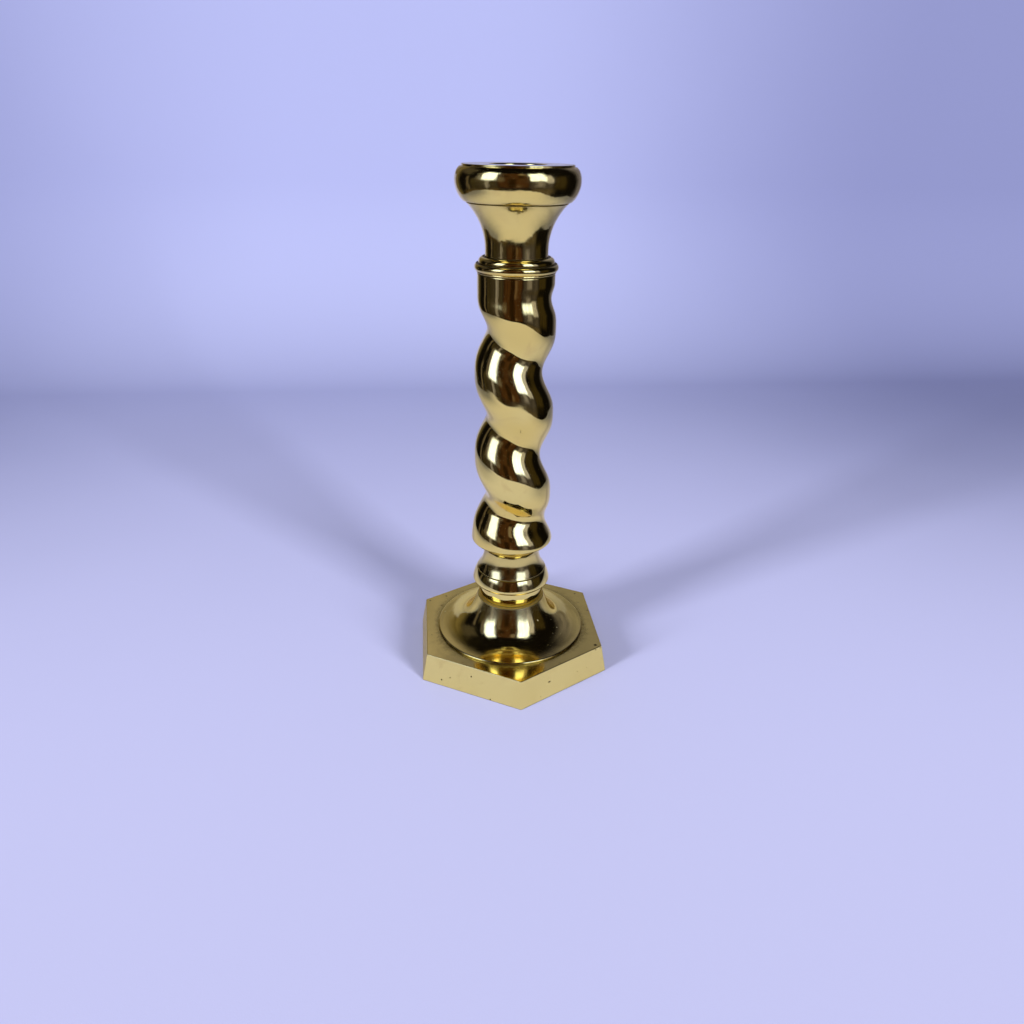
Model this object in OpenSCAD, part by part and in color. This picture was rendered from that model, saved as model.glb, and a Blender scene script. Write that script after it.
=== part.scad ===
// Barley twist candlestick: turned and cast brass pieces stacked on a steel tie rod.
// Millimetres, +Z up, origin at the middle of the plinth's underside, one plinth corner towards -Y.

/* [Plinth] */
// Distance across the flats at the table
plinth_flats = 90.4; // [84:0.2:120]
// How much narrower the plinth is across its flats at the top
plinth_taper = 5; // [0:0.5:8]
// Height of the plinth
plinth_h = 14; // [13:0.5:24]
// Thickness of the side walls at the table
plinth_wall = 5.5; // [4:0.5:9]
// Thickness of the deck over the hollow underside
deck_t = 4; // [3:0.25:5]

/* [Foot] */
// Radius of the round plate that stands on the plinth
plate_r = 36.6; // [30:0.2:39]
// Height of the plate's upright edge
plate_edge_h = 1.1; // [0.6:0.1:2]
// Radius of the rounding on the plate's edge
plate_round = 0.6; // [0.2:0.1:0.6]
// Height of the foot
foot_h = 18; // [15:0.5:30]
// Radius of the foot at the seam under the knop
foot_top_r = 16.3; // [15:0.1:20]

/* [Knop] */
// Height of the rounded neck below the knop's rim
low_neck_h = 8.8; // [5:0.2:15]
// Radius of the rounded neck below the knop's rim, at its top
low_neck_r = 15.6; // [13:0.1:18]
// Radius of the rounded neck at its foot
low_neck_foot_r = 14.8; // [12:0.1:18]
// How far the rounded neck bulges
low_neck_bulge = 0.7; // [0.1:0.1:1]
// Radius of the knop at its rim
knop_r = 18.7; // [18:0.1:24]
// Height of the rounded rim
knop_rim_h = 1.7; // [1:0.1:3]
// How far the rounded rim bulges
knop_rim_bulge = 0.35; // [0.1:0.05:0.6]
// Height of the band between the rim and the scribed line
knop_band_h = 5.3; // [3:0.1:9]
// How far the band bulges
knop_band_bulge = 0.2; // [0.05:0.05:0.8]
// Radius at the scribed line
scribe_r = 16.6; // [15:0.1:18]
// Height of the hollow flare above the scribed line
knop_flare_h = 8.7; // [5:0.1:14]
// How far the flare is hollowed
knop_flare_hollow = 0.8; // [0.1:0.05:1.2]
// Radius of the knop's slim waist
knop_waist_r = 13.5; // [12.5:0.05:15]
// Height of the sweep from the waist up to the stem
knop_sweep_h = 6.7; // [4:0.1:12]
// Radius of the knop where it meets the stem
knop_top_r = 16.8; // [15.5:0.1:17.4]

/* [Twisted stem] */
// Height of the stem between its two seams
stem_h = 124.6; // [90:0.2:200]
// Radius over the ridge low on the stem
ridge_low_r = 17.9; // [15:0.1:22]
// Radius over the ridge high on the stem
ridge_high_r = 17.5; // [15:0.1:22]
// Depth of the groove below the ridge
groove_depth = 5.4; // [1:0.1:6]
// Height of one full turn of the ridge
lead = 38.55; // [25:0.05:80]
// Direction of the ridge at the foot of the stem, in degrees from +X
start_angle = 225; // [0:1:359]
// Height over which the groove runs in at the bottom
run_in_h = 17; // [8:0.5:25]
// Height over which the groove runs out at the top
run_out_h = 13; // [8:0.5:25]
// Height of the plain end at the top
plain_end_h = 3.8; // [2:0.1:10]
// Radius of the plain end at the top
plain_end_r = 16.4; // [15:0.1:20]
// Radius of the round shoulder at the bottom
shoulder_r = 19.4; // [16:0.1:23]
// Radius of the rounding under the shoulder
shoulder_round = 1.5; // [0.5:0.1:3]
// Radius of the cored hole through the stem
core_r = 7; // [4:0.1:7.5]

/* [Collar ring] */
// Radius of the ring
collar_r = 17.6; // [15.5:0.1:21]
// Height of the ring's large bead
collar_bead_h = 3.9; // [2.5:0.1:6]
// How far the ring's large bead bulges
collar_bulge = 1; // [0.3:0.1:1.2]
// Radius of the ring's small upper bead at its root
small_bead_r = 15.9; // [13.5:0.1:19]
// Height of the ring's small upper bead
small_bead_h = 2.5; // [1:0.1:4]
// How far the ring's small upper bead bulges
small_bead_bulge = 0.8; // [0.2:0.1:1]

/* [Candle cup] */
// Height of the cup from the collar ring to its flat top
cup_h = 34.8; // [34:0.2:50]
// Radius of the trumpet neck where it is slimmest
cup_neck_r = 13.1; // [11.5:0.1:15]
// Height of the straight stretch at the bottom of the neck
cup_straight_h = 2.8; // [0.5:0.1:8]
// Height of the turned line under the bead, from the cup's bottom
bead_line_h = 20.9; // [16:0.1:24]
// Radius at the turned line under the bead
bead_line_r = 20.7; // [17:0.1:22]
// Radius of the bead just above the turned line
bead_low_r = 21.9; // [18:0.1:23]
// How far the bead's outline is drawn outwards
bead_swell = 3.45; // [1:0.05:4]
// Radius of the bead at its top, under the lip
bead_top_r = 23.3; // [18:0.1:25]
// Radius of the upright lip round the flat top
rim_r = 22.5; // [18:0.1:25]
// Height of the upright lip
lip_h = 0.9; // [0.2:0.1:1.5]
// Radius of the candle hole
candle_r = 11.1; // [8:0.05:12.5]
// Depth of the candle hole
candle_depth = 22; // [16:0.5:23]

/* [Registers and rod] */
// Radius of the rod
rod_r = 3; // [2.5:0.1:3.5]
// Radial clearance of the rod in the tapped hole and the nut
thread_gap = 0.05; // [0.02:0.01:0.1]
// Radial clearance of the rod in plain holes
rod_hole_gap = 0.4; // [0.2:0.05:0.8]
// Radial clearance of every register
register_gap = 0.08; // [0.02:0.01:0.2]
// Radius of the registers on foot, knop and stem
register_r = 9; // [8.6:0.1:11]
// Height of the registers
register_h = 4; // [2:0.1:4.5]
// Depth of each register's hole beyond its spigot
register_relief = 0.5; // [0.2:0.1:1]
// Depth of the tapped hole above the cup's register
tap_depth = 6; // [4:0.1:6]
// Distance of the rod's end from the bottom of the tapped hole
rod_end_gap = 0.5; // [0.2:0.1:1]
// How far the rod shows below the nut
rod_tail = 0.8; // [0.4:0.1:1]
// Length of the chamfer at the rod's ends
rod_chamfer = 0.5; // [0.2:0.1:0.8]

/* [Nut and washers] */
// Distance across the flats of the nut
nut_flats = 10; // [9:0.1:13]
// Height of the nut
nut_h = 5; // [4:0.1:5]
// Radius of the broad washer
plate_washer_r = 15; // [12:0.1:18]
// Thickness of the broad washer
plate_washer_t = 1.5; // [1:0.1:1.5]
// Radius of the split washer
spring_washer_r = 5.9; // [5:0.1:7]
// Thickness of the split washer
spring_washer_t = 1.6; // [1:0.1:1.6]
// Width of the slit in the split washer
slit_w = 0.8; // [0.4:0.1:1.2]

/* [Hidden] */
$fn = 96;

// Seams of the stack, from the table up
foot_z = plinth_h;
knop_z = foot_z + foot_h;
knop_h = low_neck_h + knop_rim_h + knop_band_h + knop_flare_h + knop_sweep_h;
stem_z = knop_z + knop_h;
collar_z = stem_z + stem_h;
collar_h = collar_bead_h + small_bead_h;
cup_z = collar_z + collar_h;

// Fastening under the deck, from the deck down
deck_z = plinth_h - deck_t;
spring_washer_z = deck_z - plate_washer_t - spring_washer_t;
nut_z = spring_washer_z - nut_h;

// Rod from below the nut up into the cup
tap_z = register_h + register_relief;
rod_z = nut_z - rod_tail;
rod_top_z = cup_z + tap_z + tap_depth - rod_end_gap;
rod_hole_r = rod_r + rod_hole_gap;
register_hole_r = register_r + register_gap;

// Half width and half depth of the scribed lines
line_w = 0.25;
line_d = 0.3;
// Depth of the notch between the ring's two beads
notch_d = 0.3;
// Radial gap between the ring's upper edge and the cup's neck
collar_lip = 0.5;
// Bulge of a quarter circle, as a share of its radius
quarter = 1 - 1 / sqrt(2);
// Overlap that makes joined or cut shapes meet cleanly
eps = 0.5;

// Steps round a curved stretch of an outline
arc_steps = 10;
// Steps round and up the twisted stem
turn_steps = 40;
rise_steps = 68;
round_steps = 3;

// Slopes of the foot's flare at its top and at the plate, in degrees from upright
flare_top_slope = 22;
flare_end_slope = 86;
// Reach of the flare's two handles, as a share of its width
flare_reach = 0.6;
// Height of the bead's two handles, as a share of its height
bead_lift = 0.22;

// Points along a circular arc from p up to but not including q, bulging right of the way by the height s
function arc(p, q, s) =
    let (half = norm(q - p) / 2)
    let (r = (half * half + s * s) / (2 * abs(s)))
    let (along = (q - p) / (2 * half))
    let (right = [along[1], -along[0]] * sign(s))
    let (centre = (p + q) / 2 - right * (r - abs(s)))
    let (open = 2 * atan2(half, r - abs(s)))
    [for (i = [0 : arc_steps - 1])
        let (a = open * (i / arc_steps - 0.5))
        centre + r * (cos(a) * right + sin(a) * along)];

// Points along a smooth curve from p to q with the handles a and b, without q
function curve(p, a, b, q) =
    [for (i = [0 : 2 * arc_steps - 1])
        let (t = i / (2 * arc_steps))
        let (u = 1 - t)
        u * u * u * p + 3 * u * u * t * a + 3 * u * t * t * b + t * t * t * q];

// Bulge of a circular arc that starts upright and ends a spread further out at a height h
function upright_bulge(h, spread) =
    let (r = (h * h + spread * spread) / (2 * spread))
    r - sqrt(r * r - (h * h + spread * spread) / 4);

// Smooth step from 0 at t = 0 to 1 at t = 1
function smooth(t) =
    let (u = min(1, max(0, t)))
    u * u * (3 - 2 * u);

module rod_hole(from, to) {
    translate([0, 0, from])
        cylinder(r = rod_hole_r, h = to - from);
}

// Solid turned round the Z axis from an outline that starts and ends on the axis
module turned(outline) {
    rotate_extrude()
        polygon(concat([[0, outline[0][1]]], outline, [[0, outline[len(outline) - 1][1]]]));
}

// Six-sided block with its corners on the Y axis, as wide as the flats at the bottom and at the top
module hexagon_block(bottom_flats, top_flats, h) {
    long = 2 * max(bottom_flats, top_flats);
    low = bottom_flats / 2;
    high = top_flats / 2;
    intersection_for(turn = [0, 60, 120])
        rotate([90, 0, turn])
            linear_extrude(long, center = true)
                polygon([[-low, 0], [low, 0], [high, h], [-high, h]]);
}

module hex_plinth() {
    color("darkgoldenrod")
        difference() {
            hexagon_block(plinth_flats, plinth_flats - plinth_taper, plinth_h);
            translate([0, 0, -eps])
                rotate([0, 0, 30])
                    cylinder(r = (plinth_flats - 2 * plinth_wall) / sqrt(3), h = deck_z + eps, $fn = 6);
            translate([0, 0, deck_z - eps])
                cylinder(r = register_hole_r, h = deck_t + 2 * eps);
        }
}

// The plate's edge, its rounding, the flare and the seam, from the table side up
function foot_outline() =
    let (edge = [plate_r, plate_edge_h - plate_round])
    let (inner = [plate_r - plate_round, plate_edge_h])
    let (top = [foot_top_r, foot_h])
    let (reach = flare_reach * (plate_r - foot_top_r))
    let (low = inner + reach * [-sin(flare_end_slope), cos(flare_end_slope)])
    let (high = top + reach * [sin(flare_top_slope), -cos(flare_top_slope)])
    concat([[plate_r, 0]], arc(edge, inner, plate_round * quarter), curve(inner, low, high, top), [top]);

module domed_foot() {
    spigot_h = deck_t - register_relief;
    color("goldenrod")
        translate([0, 0, foot_z])
            difference() {
                union() {
                    turned(foot_outline());
                    translate([0, 0, -spigot_h])
                        cylinder(r = register_r, h = spigot_h + eps);
                }
                rod_hole(-spigot_h - eps, foot_h + eps);
                translate([0, 0, foot_h - register_h - register_relief])
                    cylinder(r = register_hole_r, h = register_h + register_relief + eps);
            }
}

// Rounded low neck, rim, band, scribed line, flare, waist and the sweep up to the stem
function knop_outline() =
    let (rim_z = low_neck_h)
    let (band_z = rim_z + knop_rim_h)
    let (line_z = band_z + knop_band_h)
    let (waist_z = line_z + knop_flare_h)
    let (sweep = upright_bulge(knop_sweep_h, knop_top_r - knop_waist_r))
    concat(
        arc([low_neck_foot_r, 0], [low_neck_r, rim_z], low_neck_bulge),
        [[low_neck_r, rim_z]],
        arc([knop_r - knop_rim_h / 2, rim_z], [knop_r, band_z], knop_rim_bulge),
        arc([knop_r, band_z], [scribe_r + line_w, line_z - line_w], knop_band_bulge),
        [[scribe_r + line_w, line_z - line_w], [scribe_r - line_d, line_z]],
        arc([scribe_r, line_z + line_w], [knop_waist_r, waist_z], -knop_flare_hollow),
        arc([knop_waist_r, waist_z], [knop_top_r, knop_h], -sweep),
        [[knop_top_r, knop_h]]);

module knop() {
    color("goldenrod")
        translate([0, 0, knop_z])
            difference() {
                union() {
                    turned(knop_outline());
                    translate([0, 0, -register_h])
                        cylinder(r = register_r, h = knop_h + 2 * register_h);
                }
                rod_hole(-register_h - eps, knop_h + register_h + eps);
            }
}

// Radius of the stem at the height z above its lower seam, in the direction a
function ridge_r(z) =
    let (body_r = ridge_low_r + (ridge_high_r - ridge_low_r) * z / stem_h)
    let (foot = 1 - smooth(z / run_in_h))
    let (head = smooth((z - stem_h + plain_end_h + run_out_h) / (run_out_h - plain_end_h)))
    body_r + (shoulder_r - body_r) * foot + (plain_end_r - body_r) * head;

function depth(z) = groove_depth * smooth(z / run_in_h) * smooth((stem_h - plain_end_h - z) / run_out_h);

function stem_r(z, a) = ridge_r(z) - depth(z) * pow(abs(sin((a - start_angle + 360 * z / lead) / 2)), 3);

// Rings of the stem as pairs of height and inset, with the rounding under the shoulder first
stem_rings = concat(
    [for (i = [0 : round_steps - 1])
        let (a = 90 * i / round_steps)
        [shoulder_round * (1 - cos(a)), shoulder_round * (1 - sin(a))]],
    [for (i = [0 : rise_steps])
        [shoulder_round + (stem_h - shoulder_round) * i / rise_steps, 0]]);

module twist_body() {
    last = len(stem_rings) - 1;
    points = [for (ring = stem_rings)
        for (i = [0 : turn_steps - 1])
            let (a = 360 * i / turn_steps)
            let (r = stem_r(ring[0], a) - ring[1])
            [r * cos(a), r * sin(a), ring[0]]];
    sides = [for (k = [0 : last - 1])
        for (i = [0 : turn_steps - 1])
            let (p = k * turn_steps + i)
            let (q = k * turn_steps + (i + 1) % turn_steps)
            for (face = [[p, p + turn_steps, q + turn_steps], [p, q + turn_steps, q]])
                face];
    bottom = [for (i = [0 : turn_steps - 1]) i];
    top = [for (i = [turn_steps - 1 : -1 : 0]) last * turn_steps + i];
    polyhedron(points, concat(sides, [bottom, top]));
}

module twist_stem() {
    spigot_h = collar_h + register_h;
    color("gold")
        translate([0, 0, stem_z])
            difference() {
                union() {
                    twist_body();
                    translate([0, 0, stem_h - eps])
                        cylinder(r = register_r, h = spigot_h + eps);
                }
                translate([0, 0, -eps])
                    cylinder(r = core_r, h = stem_h + spigot_h + 2 * eps);
                translate([0, 0, -eps])
                    cylinder(r = register_hole_r, h = register_h + register_relief + eps);
            }
}

// Large bead below, small bead above
function collar_outline() =
    concat(
        arc([collar_r - collar_bulge, 0], [collar_r - collar_bulge, collar_bead_h], collar_bulge),
        [[small_bead_r - notch_d, collar_bead_h]],
        arc([small_bead_r, collar_bead_h + line_w], [cup_neck_r + collar_lip, collar_h], small_bead_bulge),
        [[cup_neck_r + collar_lip, collar_h]]);

module collar_ring() {
    color("gold")
        translate([0, 0, collar_z])
            difference() {
                turned(collar_outline());
                translate([0, 0, -eps])
                    cylinder(r = register_hole_r, h = collar_h + 2 * eps);
            }
}

// Straight neck, trumpet, turned line, bead, lip and flat top
function cup_outline() =
    let (flare_h = bead_line_h - cup_straight_h)
    let (flare_bulge = upright_bulge(flare_h, bead_line_r - cup_neck_r))
    let (bead_low = [bead_low_r, bead_line_h + line_w])
    let (bead_top = [bead_top_r, cup_h - lip_h])
    let (lift = bead_lift * (bead_top[1] - bead_low[1]))
    concat(
        [[cup_neck_r, 0]],
        arc([cup_neck_r, cup_straight_h], [bead_line_r, bead_line_h - line_w], -flare_bulge),
        [[bead_line_r, bead_line_h - line_w], [bead_line_r - line_d, bead_line_h]],
        curve(bead_low, bead_low + [bead_swell, lift], bead_top + [bead_swell, -lift], bead_top),
        [bead_top, [rim_r, cup_h - lip_h], [rim_r, cup_h]]);

module candle_cup() {
    color("goldenrod")
        translate([0, 0, cup_z])
            difference() {
                turned(cup_outline());
                translate([0, 0, cup_h - candle_depth])
                    cylinder(r = candle_r, h = candle_depth + eps);
                translate([0, 0, -eps])
                    cylinder(r = register_hole_r, h = tap_z + eps);
                translate([0, 0, tap_z - eps])
                    cylinder(r = rod_r + thread_gap, h = tap_depth + eps);
            }
}

module tie_rod() {
    length = rod_top_z - rod_z;
    tip_r = rod_r - rod_chamfer;
    color("silver")
        translate([0, 0, rod_z])
            turned([[tip_r, 0], [rod_r, rod_chamfer], [rod_r, length - rod_chamfer], [tip_r, length]]);
}

module plate_washer() {
    color("silver")
        translate([0, 0, deck_z - plate_washer_t])
            difference() {
                cylinder(r = plate_washer_r, h = plate_washer_t);
                rod_hole(-eps, plate_washer_t + eps);
            }
}

module spring_washer() {
    color("lightsteelblue")
        translate([0, 0, spring_washer_z])
            difference() {
                cylinder(r = spring_washer_r, h = spring_washer_t);
                rod_hole(-eps, spring_washer_t + eps);
                translate([spring_washer_r / 2 + rod_r / 2, 0, spring_washer_t / 2])
                    rotate([25, 0, 0])
                        cube([spring_washer_r, slit_w, 4 * spring_washer_t], center = true);
            }
}

module base_nut() {
    corner_r = nut_flats / sqrt(3);
    chamfer = corner_r - nut_flats / 2;
    color("lightsteelblue")
        translate([0, 0, nut_z])
            difference() {
                intersection() {
                    cylinder(r = corner_r, h = nut_h, $fn = 6);
                    turned([[nut_flats / 2, 0], [corner_r, chamfer / 2], [corner_r, nut_h - chamfer / 2],
                        [nut_flats / 2, nut_h]]);
                }
                translate([0, 0, -eps])
                    cylinder(r = rod_r + thread_gap, h = nut_h + 2 * eps);
            }
}

candle_cup();
collar_ring();
twist_stem();
knop();
domed_foot();
hex_plinth();
tie_rod();
plate_washer();
spring_washer();
base_nut();
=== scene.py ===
"""Looks of a polished brass barley twist candlestick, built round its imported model, in metres."""
import math

import bpy
import numpy as np
from mathutils import Matrix, Vector

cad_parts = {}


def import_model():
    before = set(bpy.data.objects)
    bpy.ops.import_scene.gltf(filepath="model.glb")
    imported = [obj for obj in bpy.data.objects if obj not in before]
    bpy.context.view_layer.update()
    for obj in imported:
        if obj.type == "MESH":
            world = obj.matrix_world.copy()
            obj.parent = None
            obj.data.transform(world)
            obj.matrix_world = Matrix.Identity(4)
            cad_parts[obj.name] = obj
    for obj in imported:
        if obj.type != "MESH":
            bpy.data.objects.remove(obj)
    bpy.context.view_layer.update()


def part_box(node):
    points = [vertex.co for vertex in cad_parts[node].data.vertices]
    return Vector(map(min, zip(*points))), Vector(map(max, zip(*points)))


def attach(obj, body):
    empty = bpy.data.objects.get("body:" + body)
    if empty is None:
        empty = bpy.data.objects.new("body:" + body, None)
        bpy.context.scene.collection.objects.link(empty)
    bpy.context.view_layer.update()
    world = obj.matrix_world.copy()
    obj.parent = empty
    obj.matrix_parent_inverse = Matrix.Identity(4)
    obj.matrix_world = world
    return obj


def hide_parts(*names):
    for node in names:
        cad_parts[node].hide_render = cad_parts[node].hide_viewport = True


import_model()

MM = 0.001

# Seams of the stack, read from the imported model
FOOT_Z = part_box("hex_plinth")[1].z
KNOP_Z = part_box("domed_foot")[1].z
STEM_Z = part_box("twist_stem")[0].z
COLLAR_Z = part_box("collar_ring")[0].z
CUP_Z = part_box("candle_cup")[0].z
TOP_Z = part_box("candle_cup")[1].z
DECK_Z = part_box("plate_washer")[1].z
SPRING_WASHER_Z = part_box("spring_washer")[0].z
NUT_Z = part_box("base_nut")[0].z

# Radii and clearances inside the stack, in millimetres
REGISTER_R = 9.0
REGISTER_HOLE_R = 9.08
REGISTER_H = 4.0
REGISTER_RELIEF = 0.5
ROD_R = 3.0
ROD_HOLE_R = 3.4
TAP_R = 3.05
TAP_DEPTH = 6.0
CORE_R = 7.0

# Fineness of the meshes
TURNED_STEPS = 192
TWIST_STEPS = 176
TWIST_RINGS = 400
ARC_STEPS = 26
FILLET_STEP = math.radians(15)


# Outlines: lists of [radius, height, fillet] in millimetres, upwards on the outside

def arc(p, q, bulge, steps=ARC_STEPS):
    """Points along a circular arc from p up to but not including q, bulging outwards by that height."""
    p, q = np.array(p, float), np.array(q, float)
    half = np.linalg.norm(q - p) / 2
    radius = (half * half + bulge * bulge) / (2 * abs(bulge))
    along = (q - p) / (2 * half)
    right = np.array([along[1], -along[0]]) * math.copysign(1, bulge)
    centre = (p + q) / 2 - right * (radius - abs(bulge))
    opening = 2 * math.atan2(half, radius - abs(bulge))
    angles = [opening * (i / steps - 0.5) for i in range(steps)]
    return [list(centre + radius * (math.cos(a) * right + math.sin(a) * along)) + [0] for a in angles]


def curve(p, a, b, q, steps=2 * ARC_STEPS):
    """Points along a smooth curve from p to q with the handles a and b, without q."""
    p, a, b, q = (np.array(v, float) for v in (p, a, b, q))
    rows = []
    for i in range(steps):
        t = i / steps
        u = 1 - t
        rows.append(list(u * u * u * p + 3 * u * u * t * a + 3 * u * t * t * b + t * t * t * q) + [0])
    return rows


def upright_bulge(height, spread):
    """Bulge of a circular arc that starts upright and ends a spread further out at that height."""
    radius = (height ** 2 + spread ** 2) / (2 * spread)
    return radius - math.sqrt(radius ** 2 - (height ** 2 + spread ** 2) / 4)


def smooth(t):
    """Smooth step from 0 at t = 0 to 1 at t = 1."""
    u = np.clip(t, 0, 1)
    return u * u * (3 - 2 * u)


def rounded(outline, closed=False, support=0.15):
    """The outline with its corners rounded, and a support point beside each fillet that ends on a long straight."""
    points = [np.array(p[:2], float) for p in outline]
    count = len(points)
    rows = []
    for i, (p, spec) in enumerate(zip(points, outline)):
        radius = spec[2] if len(spec) > 2 else 0
        if radius == 0 or (not closed and i in (0, count - 1)):
            rows.append(p)
            continue
        before, after = points[i - 1] - p, points[(i + 1) % count] - p
        long_before, long_after = np.linalg.norm(before), np.linalg.norm(after)
        before, after = before / long_before, after / long_after
        corner = math.acos(np.clip(before @ after, -1, 1))
        turn = math.pi - corner
        reach = min(radius / math.tan(corner / 2), 0.45 * long_before, 0.45 * long_after)
        radius = reach * math.tan(corner / 2)
        middle = (before + after) / np.linalg.norm(before + after)
        centre = p + middle * radius / math.sin(corner / 2)
        start, end = p + before * reach, p + after * reach
        steps = max(2, math.ceil(turn / FILLET_STEP))
        if long_before > 3 * support + reach:
            rows.append(start + before * support)
        from_centre, to_centre = start - centre, end - centre
        for k in range(steps + 1):
            share = k / steps
            lean = math.sin((1 - share) * turn) * from_centre + math.sin(share * turn) * to_centre
            rows.append(centre + lean / math.sin(turn))
        if long_after > 3 * support + reach:
            rows.append(end + after * support)
    return np.array(rows)


# Meshes

def finish_mesh(name, verts, faces, grime_and_shade=None):
    """A smooth-shaded object in the frame's metres, from vertices in millimetres, with its dirt and painted shade as
    an attribute.
    """
    mesh = bpy.data.meshes.new(name)
    mesh.from_pydata((np.asarray(verts) * MM).tolist(), [], faces)
    mesh.validate()
    mesh.shade_smooth()
    mesh.set_sharp_from_angle(angle=math.radians(50))
    if grime_and_shade is not None:
        layer = mesh.attributes.new("grime_and_shade", "FLOAT", "POINT")
        layer.data.foreach_set("value", np.asarray(grime_and_shade, np.float32))
    piece = bpy.data.objects.new(name, mesh)
    bpy.context.scene.collection.objects.link(piece)
    return piece


def loft_faces(rings, count, closed):
    """Quads between each two neighbouring rings, with a fan at each end where the loft isn't closed."""
    faces = []
    for k in range(rings if closed else rings - 1):
        low, high = k * count, (k + 1) % rings * count
        faces += [(low + i, low + (i + 1) % count, high + (i + 1) % count, high + i) for i in range(count)]
    if not closed:
        bottom, top = rings * count, rings * count + 1
        last = (rings - 1) * count
        faces += [(bottom, (i + 1) % count, i) for i in range(count)]
        faces += [(top, last + i, last + (i + 1) % count) for i in range(count)]
    return faces


def grime_and_shade_at(verts, marks):
    """How much dirt and painted shade each vertex takes, from marks of (height, spread, strength) and an optional
    inner radius below which it counts.
    """
    heights = verts[:, 2]
    radii = np.hypot(verts[:, 0], verts[:, 1])
    total = np.zeros(len(verts))
    for height, spread, strength, inner, outer in marks:
        near = np.exp(-(((heights - height) / spread) ** 2)) * strength
        total = np.maximum(total, near * (radii >= inner) * (radii <= outer))
    return total


def loft(name, rings, closed, marks=()):
    """A piece from a list of rings, each an array of points in millimetres."""
    count = len(rings[0])
    verts = np.concatenate(rings)
    faces = loft_faces(len(rings), count, closed)
    if not closed:
        ends = [rings[0].mean(0), rings[-1].mean(0)]
        verts = np.concatenate([verts, ends])
    return finish_mesh(name, verts, faces, grime_and_shade_at(verts, marks))


def circle(radius, height, steps=TURNED_STEPS):
    angles = np.arange(steps) * 2 * math.pi / steps
    return np.stack([radius * np.cos(angles), radius * np.sin(angles), np.full(steps, height)], 1)


def turned(name, outline, base, closed=True, marks=(), steps=TURNED_STEPS):
    """A piece turned round the Z axis, its outline standing at the height base, in metres."""
    lift = base / MM
    rows = rounded(outline, closed)
    rings = [circle(r, z + lift, steps) for r, z in rows]
    marks = [(m[0] + lift, m[1], m[2], *(m[3:] or (0, 100))) for m in marks]
    return loft(name, rings, closed, marks)


# Candle cup, in millimetres above its seam
CUP_H = (TOP_Z - CUP_Z) / MM
CUP_NECK_R = 13.1
CUP_STRAIGHT_H = 2.8
BEAD_LINE_H = 20.9
BEAD_LINE_R = 20.7
BEAD_LOW_R = 21.9
BEAD_TOP_R = 23.3
BEAD_SWELL = 3.45
BEAD_LIFT = 0.22
RIM_R = 22.5
LIP_H = 0.9
CANDLE_R = 11.1
CANDLE_DEPTH = 22
LINE_W = 0.3
LINE_D = 0.35


def candle_cup():
    tap_z = REGISTER_H + REGISTER_RELIEF
    floor_z = CUP_H - CANDLE_DEPTH
    flare_bulge = upright_bulge(BEAD_LINE_H - CUP_STRAIGHT_H, BEAD_LINE_R - CUP_NECK_R)
    bead_low = np.array([BEAD_LOW_R, BEAD_LINE_H + LINE_W])
    bead_top = np.array([BEAD_TOP_R, CUP_H - LIP_H])
    lift = BEAD_LIFT * (bead_top[1] - bead_low[1])
    low_handle, high_handle = bead_low + [BEAD_SWELL, lift], bead_top + [BEAD_SWELL, -lift]
    outline = [
        [TAP_R, tap_z + TAP_DEPTH, 0], [TAP_R, tap_z, 0.2], [REGISTER_HOLE_R, tap_z, 0.2], [REGISTER_HOLE_R, 0, 0.3],
        [CUP_NECK_R, 0, 0.25],
        *arc([CUP_NECK_R, CUP_STRAIGHT_H], [BEAD_LINE_R, BEAD_LINE_H - LINE_W], -flare_bulge),
        [BEAD_LINE_R, BEAD_LINE_H - LINE_W, 0.12], [BEAD_LINE_R - LINE_D, BEAD_LINE_H, 0.08],
        [*bead_low, 0.2], *curve(bead_low, low_handle, high_handle, bead_top)[1:],
        [*bead_top, 0.2], [RIM_R + 0.05, CUP_H - LIP_H + 0.15, 0.12], [RIM_R, CUP_H, 0.2],
        [CANDLE_R, CUP_H, 0.7], [CANDLE_R, floor_z, 1.0], [0.05, floor_z - 0.3, 0],
    ]
    # Dirt and painted shade in the scribed line, at the seam, under the lip and deep in the candle hole.
    marks = [
        (BEAD_LINE_H, 0.35, 0.8), (0, 0.5, 0.9), (CUP_H - LIP_H, 0.25, 0.6, 22, 23),
        (floor_z, 9, 1.0, 0, CANDLE_R + 0.3),
    ]
    return turned("candle_cup_body", outline, CUP_Z, closed=False, marks=marks)


# Collar ring, in millimetres above its seam
COLLAR_H = (CUP_Z - COLLAR_Z) / MM
COLLAR_R = 17.6
COLLAR_FOOT_R = 16.65
COLLAR_BEAD_H = 3.9
SMALL_BEAD_R = 15.9
COLLAR_LIP_R = 13.6


def collar_ring():
    outline = [
        [REGISTER_HOLE_R, COLLAR_H, 0.2], [REGISTER_HOLE_R, 0, 0.2],
        [COLLAR_FOOT_R - 0.35, 0, 0.1], [COLLAR_FOOT_R, 0.4, 0.15], [COLLAR_FOOT_R - 0.1, 0.75, 0.1],
        *arc([COLLAR_FOOT_R, 0.85], [COLLAR_R - 1, COLLAR_BEAD_H], 0.97),
        [COLLAR_R - 1, COLLAR_BEAD_H, 0.1], [SMALL_BEAD_R - 0.35, COLLAR_BEAD_H - 0.05, 0.12],
        *arc([SMALL_BEAD_R, COLLAR_BEAD_H + 0.3], [COLLAR_LIP_R, COLLAR_H], 0.8),
        [COLLAR_LIP_R, COLLAR_H, 0.1],
    ]
    # Dirt and painted shade at both seams and in the grooves between the beads.
    marks = [(0, 0.35, 1.0), (0.8, 0.16, 0.7), (COLLAR_BEAD_H, 0.3, 0.9), (COLLAR_H, 0.3, 0.9, 0, 14.2)]
    return turned("collar_ring_body", outline, COLLAR_Z, marks=marks)


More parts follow.
